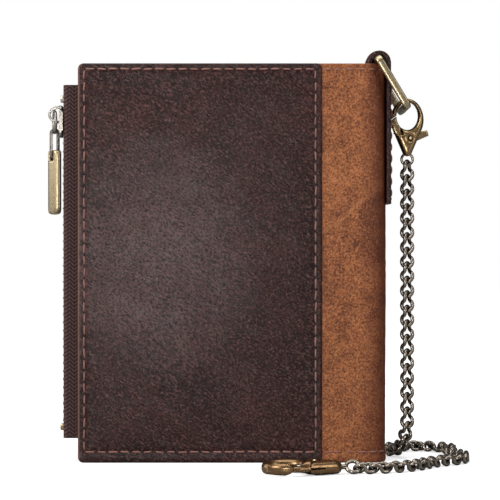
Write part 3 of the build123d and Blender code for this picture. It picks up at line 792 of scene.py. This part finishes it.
def band_relief(seed):
    """How far the band's face stands out, with its seams near the top and the bottom."""

    def relief(points, depth):
        level = points[:, 1]
        lift = 0.12 * noise(points, (9, 26), seed) * smooth(depth / 5)
        lift += 0.05 * noise(turned(points, 30), (7, 1.6), seed + 1) * smooth(depth / 4)
        lift -= 0.14 * (bell(level, seam_high_z, 0.5) + bell(level, seam_foot, 0.5))
        lift += 0.12 * bell(level, 1.3, 1.1)
        return lift

    return relief


def half_band(band_y, inward):
    """The band's outer path from under a cover's edge, round one fold, to the spine's middle."""
    start = -90 * inward
    turn = arc((fold_x, band_y + inward * spine_radius), spine_radius, start, 0)
    path = np.vstack([walk([(edge_x - 3, band_y), (fold_x, band_y)])[:-1], turn])
    return np.vstack([path, walk([path[-1], (spine_x - 0.1, mid_y)])[1:]])


def band_stitches(band_y, inward):
    """The faint stitches across the band, near the top and the bottom."""
    path = half_band(band_y, inward)
    out = outward(path) * -inward
    length = np.concatenate([[0], np.cumsum(np.linalg.norm(np.diff(path, axis=0), axis=1))])
    first = 4.6
    places = []
    for z in (seam_high_z, seam_foot):
        for at in np.arange(first, length[-1], stitch_pitch):
            i = int(np.argmin(np.abs(length - at)))
            j = min(max(i, 1), len(path) - 2)
            ahead = np.append(unit(path[j + 1] - path[j - 1]), 0)
            places.append((np.append(path[i], z), ahead, np.append(out[i], 0)))
    return places


blend_low = fold_x - 4.0
blend_high = fold_x + 5.0
leather_sides = (
    ("front", front_y, 1, band_front_y, ("front_half", "spine"), 11),
    ("back", back_y, -1, band_back_y, ("back_half", "spine"), 21),
)
for side, outer_y, inward, band_y, halves, seed in leather_sides:
    half = halves[0]
    face = sheet(
        (left_x, edge_x),
        (0, height),
        outer_y,
        outer_y + inward * panel_t,
        roll=0.7,
        corner=1.8,
        step=0.6,
        relief=cover_relief,
    )
    dress(make_object(f"{side}_cover_leather", face), "dark_leather", half, f"{side}_cover")
    seam = seam_places(outer_y, inward)
    dress(make_object(f"{side}_cover_stitches", stitches(seam)), "thread", half, f"{side}_seam")
    dress(make_object(f"{side}_cover_holes", *awl_holes(seam)), "dark_leather", half, look="hole_shade")
    strip = ribbon(half_band(band_y, inward), -inward, (0, height), band_t, 0.5, 0.6, band_relief(seed))
    strip = make_object(f"{side}_band_leather", strip)
    bend(strip, "tan_leather", halves, blend_low, blend_high, f"{side}_band", "spine_band")
    threads = make_object(f"{side}_band_stitches", stitches(band_stitches(band_y, inward), 2.2, 0.2))
    bend(threads, "thread", halves, blend_low, blend_high)

# ---------------------------------------------------------------- the strap loop


def strap_relief(points, depth):
    """The strap's crown and its stitch grooves."""
    lift = 0.28 * smooth(depth / 4) - 0.13 * bell(depth, 1.5, 0.5)
    return lift + 0.08 * noise(points, (12, 5), 31)


strap_mid_x = (strap_low[0] + strap_high[0]) / 2
strap_bend = (strap_high[0] - strap_low[0]) / 2
strap_turn_z = strap_high[2] - strap_bend
strap_tail_z = 98.0
strap_path = np.vstack([
    walk([(strap_high[0], strap_low[2]), (strap_high[0], strap_turn_z)])[:-1],
    arc((strap_mid_x, strap_turn_z), strap_bend, 0, 180, 0.4),
    walk([(strap_low[0], strap_turn_z), (strap_low[0], strap_tail_z)])[1:],
])
strap_span = (strap_low[1], strap_high[1])
strap_strip = ribbon(strap_path, -1, strap_span, strap_t, 0.4, 0.6, strap_relief, lying=True)
dress(make_object("strap_leather", strap_strip), "dark_leather", "spine", "strap_loop")
strap_edge = 1.5
strap_face = strap_high[0] + 0.12
seam_low_z = strap_low[2] + strap_edge
strap_top_z = height - 6.0
near_y = strap_span[0] + strap_edge
far_y = strap_span[1] - strap_edge
strap_corners = [
    (strap_face, near_y, seam_low_z),
    (strap_face, far_y, seam_low_z),
    (strap_face, far_y, strap_top_z),
    (strap_face, near_y, strap_top_z),
]
strap_places = []
for start, end in zip(strap_corners, strap_corners[1:] + strap_corners[:1]):
    strap_places += stitch_row(start, end, (1, 0, 0))
dress(make_object("strap_stitches", stitches(strap_places)), "thread", "spine", "strap_seam")

# ---------------------------------------------------------------- inside the wallet


def soft(points, depth):
    """The shallow waves of a thin sheet, none at its edges."""
    return 0.12 * noise(points, (24, 30), 41) * smooth(depth / 8)


def layer(node, low, high, x_in=0.0, z_in=0.0):
    """A thin sheet in a CAD node's box, between two y values."""
    box_low, box_high = span(node)
    x_span = (box_low[0] + x_in, box_high[0] - x_in)
    z_span = (box_low[2] + z_in, box_high[2] - z_in)
    return sheet(x_span, z_span, low, high, min(0.2, abs(high - low) / 2), 0.8, 2.0, soft)


for side, outer_y, inward, band_y, halves, seed in leather_sides:
    low, high = span(f"{side}_lining")
    near = outer_y + inward * (lining_depth - 0.1)
    cloth = near + inward * (lining_t + 0.1)
    rim = low[1] if inward < 0 else high[1]
    side_rim = sheet((low[0], low[0] + 3.0), (low[2] + 3.0, high[2]), cloth, rim, 0.1)
    foot_rim = sheet((low[0], high[0] - 0.6), (low[2], low[2] + 3.0), cloth, rim, 0.1)
    face = layer(f"{side}_lining", near, cloth)
    thing = make_object(f"{side}_lining_cloth", face, side_rim, foot_rim)
    dress(thing, "lining", halves[0], f"{side}_lining")
    low, high = span(f"{side}_inner_panel")
    thing = make_object(f"{side}_panel_leather", layer(f"{side}_inner_panel", low[1], high[1]))
    dress(thing, "inner_leather", halves[0], f"{side}_inner_panel")

low, high = span("coin_pocket")
wall = layer("coin_pocket", low[1], low[1] + wall_t)
rim_back = (low[1] + wall_t, high[1])
coin_rims = [
    sheet((high[0] - 2.0, high[0]), (tape_low[2], tape_high[2]), *rim_back),
    sheet((low[0], high[0]), (low[2], tape_low[2]), *rim_back),
    sheet((low[0], high[0]), (tape_high[2], high[2]), *rim_back),
]
thing = make_object("coin_pocket_leather", wall, *coin_rims)
dress(thing, "inner_leather", "front_half", "coin_pocket")

for name, floor_top in (("top", 36.0), ("middle", 20.0), ("bottom", 4.0)):
    node = f"card_slot_{name}"
    low, high = span(node)
    rim = (low[1] + wall_t, high[1])
    parts = [
        layer(node, low[1], low[1] + wall_t),
        sheet((low[0], low[0] + 0.8), (low[2], high[2]), *rim),
        sheet((high[0] - 0.8, high[0]), (low[2], high[2]), *rim),
        sheet((low[0] + 0.8, high[0] - 0.8), (floor_top - 1.2, floor_top), *rim),
    ]
    hem_ends = [(x, low[1], high[2] - 2) for x in (low[0] + 2, high[0] - 2)]
    hem = stitch_row(*hem_ends, (0, -1, 0))
    dress(make_object(f"{node}_leather", *parts), "inner_leather", "back_half", node)
    dress(make_object(f"{node}_stitches", stitches(hem, 2.4, 0.2)), "thread", "back_half")

low, high = span("id_window_frame")
window_x = 22.0
window_z = 37.0
mid_z = (low[2] + high[2]) / 2
face_y = (high[1], high[1] - 0.5)
rim_y = (high[1] - 0.5, low[1])
frame_parts = [
    sheet((low[0], -window_x), (low[2], high[2]), *face_y, 0.2, 0.8),
    sheet((window_x, high[0]), (low[2], high[2]), *face_y, 0.2, 0.8),
    sheet((-window_x, window_x), (low[2], mid_z - window_z), *face_y),
    sheet((-window_x, window_x), (mid_z + window_z, high[2]), *face_y),
    sheet((low[0], low[0] + 2.5), (low[2] + 2.5, high[2]), *rim_y),
    sheet((high[0] - 2.5, high[0]), (low[2] + 2.5, high[2]), *rim_y),
    sheet((low[0], high[0]), (low[2], low[2] + 2.5), *rim_y),
]
dress(make_object("id_window_leather", *frame_parts), "inner_leather", "front_half", "id_window_frame")
low, high = span("id_window_film")
clear = sheet((low[0], high[0]), (low[2], high[2]), high[1], low[1], 0.05)
dress(make_object("id_window_clear", clear), "film", "front_half", "id_window_film")

inner_radius = spine_radius - band_t
lining_front = arc((fold_x, band_front_y + spine_radius), inner_radius, -90, 0)
lining_back = arc((fold_x, band_back_y - spine_radius), inner_radius, 0, 90)
lining_path = np.vstack([lining_front, lining_back]) + (0.1, 0)
lining_strip = ribbon(lining_path, -1, (0.3, height - 0.3), lining_t, 0.15, 2.0)
dress(make_object("spine_lining_cloth", lining_strip), "lining", "spine", "spine_lining")

# ---------------------------------------------------------------- the zip

tape_t = 0.5
tape_bend = 1.3
tooth_pitch = 2.5
first_tooth = 0.475
root_y = 0.1
head_y = 1.05
tapes = (("front", -1, (tape_low, tape_high)), ("rear", 1, span("zipper_tape_rear")))
for side, way, tape_span in tapes:
    leg_y = (tape_span[0][1] if way < 0 else tape_span[1][1]) - way * tape_t / 2
    inner_x = tape_span[1][0]
    edge_y = zip_y + way * 0.75
    start = 90 * way
    centre = (zip_x + tape_bend, leg_y - way * tape_bend)
    turn = arc(centre, tape_bend, start, way * 180, 0.2)
    path = np.vstack([walk([(inner_x, leg_y), (zip_x + tape_bend, leg_y)])[:-1], turn])
    path = np.vstack([path, walk([path[-1], (zip_x, edge_y)], 0.3)[1:]])
    outer_path = path + outward(path) * way * tape_t / 2
    strip = ribbon(outer_path, way, (tape_low[2], tape_high[2]), tape_t, 0.12, 1.5)
    dress(make_object(f"zipper_tape_{side}_cloth", strip), "tape", "front_half", f"zipper_tape_{side}")
    low, high = span(f"zipper_teeth_{side}")
    wide = high[0] - low[0]
    teeth = []
    for z in np.arange(low[2] + first_tooth, high[2], tooth_pitch):
        teeth.append(pebble((zip_x, zip_y + way * root_y, z), (wide * 0.7, 1.3, 0.85)))
        teeth.append(pebble((zip_x, zip_y + way * head_y, z), (wide, 1.2, 0.95)))
    thing = make_object(f"zipper_teeth_{side}_cast", *teeth)
    dress(thing, "zip_metal", "front_half", f"zipper_teeth_{side}")

for name, slot in (("zipper_top_stop", "zip_metal"), ("zipper_bottom_stop", "brass")):
    low, high = span(name)
    size = np.array(high) - np.array(low)
    block = pebble((np.array(low) + np.array(high)) / 2 - (0.25, 0, 0), size * (1.6, 1.5, 1.0), 0.3)
    dress(make_object(name + "_cast", block), slot, "front_half", name)

# ---------------------------------------------------------------- the metal

cast_metal = (
    ("zipper_slider", "brass", "nickel", "zip_slider", 0.1, 4, 0.0, 0.0),
    ("pull_tab", "brass", "antique", "pull_tab", 0.09, 5, 0.7, 1.4),
    ("pull_link", "zip_metal", "nickel", "pull_link", 0.06, 8, 0.0, 0.06),
    ("strap_ring", "brass", "antique", "strap_ring", 0.12, 6, 0.0, 0.2),
    ("upper_clasp_body", "brass", "brass", "upper_clasp", 0.09, 6, 1.7, 0.0),
    ("upper_clasp_gate", "brass", "brass", "upper_gate", 0.08, 5, 0.7, 0.0),
    ("lower_clasp_body", "brass", "dark_bronze", "lower_clasp", 0.11, 6, 2.4, 0.0),
    ("lower_clasp_gate", "brass", "dark_bronze", "lower_gate", 0.1, 5, 0.9, 0.0),
    ("lower_swivel_eye", "bronze", "bronze", "lower_eye", 0.09, 5, 0.0, 0.0),
)
for node, slot, look, body, cell, rounds, reach, extra in cast_metal:
    thing = dress(cast(node, cell, rounds), slot, body, node, look=look)
    if reach:
        dome(thing, reach, 0.2, extra)
    elif extra:
        swell(thing, extra)

wire_metal = {
    "upper_jump_ring": "bronze",
    "pull_ring": "nickel",
    "pull_pin": "antique",
    "upper_clasp_pin": "brass",
    "lower_clasp_pin": "dark_bronze",
    "upper_clasp_spring": "spring_steel",
    "lower_clasp_spring": "spring_steel",
}
for node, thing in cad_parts.items():
    look = "bronze" if node.startswith("chain_links") else wire_metal.get(node)
    if look:
        thing.data.materials.clear()
        thing.data.materials.append(materials[look])
        thing.data.shade_smooth()
        weld = thing.modifiers.new("weld", "WELD")
        weld.merge_threshold = 0.002 * MM
    if node == "pull_ring":
        swell(thing, 0.1)

# ---------------------------------------------------------------- floor, light and camera


def sweep_material(seen_shade, shade, near_glow, far_glow):
    """A pale floor. Only the camera sees its glow and its full whiteness, so they light nothing."""
    graph = Graph("floor")
    x, y, z = graph.axes()
    seen = graph.node("ShaderNodeLightPath").outputs["Is Camera Ray"]
    squares = graph.math("ADD", graph.math("MULTIPLY", x, x), graph.math("MULTIPLY", y, y))
    away = graph.math("SQRT", squares)
    glow = graph.ramp(graph.math("DIVIDE", away, 400.0), (0.15, near_glow), (0.8, far_glow))
    white = (1, 1, 1, 1)
    base = graph.mix(seen, [shade, shade, shade, 1.0], [seen_shade, seen_shade, seen_shade, 1.0])
    extra = {"Emission_Color": white, "Emission_Strength": graph.math("MULTIPLY", seen, glow)}
    return graph.done(base, 0.9, Specular_IOR_Level=0.1, **extra)


floor_half = 3000.0
floor_points = [(-1, -1, 0), (1, -1, 0), (1, 1, 0), (-1, 1, 0)]
floor_points = np.array(floor_points, float) * floor_half
floor_points[:, 2] = -0.02
floor = make_object("floor", (floor_points, [[0, 1, 2, 3]]))
floor.data.materials.append(sweep_material(0.8, 0.4, 0.5, 0.92))


def soft_light(name, place, target, size, power):
    """A rectangular soft box; place, target and size in mm."""
    lamp = bpy.data.lights.new(name, "AREA")
    lamp.shape = "RECTANGLE"
    lamp.size, lamp.size_y = (side * MM for side in size)
    lamp.energy = power
    thing = bpy.data.objects.new(name, lamp)
    bpy.context.scene.collection.objects.link(thing)
    away = Vector(place) - Vector(target)
    thing.location = Vector(place) * MM
    thing.rotation_euler = away.to_track_quat("Z", "Y").to_euler()


middle = (0, mid_y, height / 2)
soft_light("key", (-400, -400, 300), middle, (260, 260), 2.0)
soft_light("gloss", (-62, -590, 76), middle, (90, 110), 0.75)
soft_light("fill", (430, -360, 200), middle, (200, 300), 0.8)
soft_light("top", (0, -120, 560), middle, (600, 500), 2.6)
soft_light("rim", (-420, 60, 160), middle, (200, 360), 0.6)

world = bpy.data.worlds.new("studio")
world.use_nodes = True
bpy.context.scene.world = world
air = world.node_tree
seen = air.nodes.new("ShaderNodeLightPath")
choice = air.nodes.new("ShaderNodeMix")
choice.data_type = "RGBA"
choice.inputs[6].default_value = (0.14, 0.14, 0.15, 1)
choice.inputs[7].default_value = (1, 1, 1, 1)
air.links.new(seen.outputs["Is Camera Ray"], choice.inputs[0])
air.links.new(choice.outputs[2], air.nodes["Background"].inputs["Color"])
air.nodes["Background"].inputs["Strength"].default_value = 1.0

camera_x = 5.4
camera_z = 61.0
camera_distance = 530.0
lens = bpy.data.cameras.new("camera")
lens.sensor_width = 36.0
lens.lens = 125.1
lens.shift_y = 0.026
lens.clip_start = 0.01
camera = bpy.data.objects.new("camera", lens)
bpy.context.scene.collection.objects.link(camera)
camera.location = Vector((camera_x, front_y - camera_distance, camera_z)) * MM
camera.rotation_euler = (math.radians(90), 0, 0)
bpy.context.scene.camera = camera
bpy.context.scene.view_settings.view_transform = "Standard"
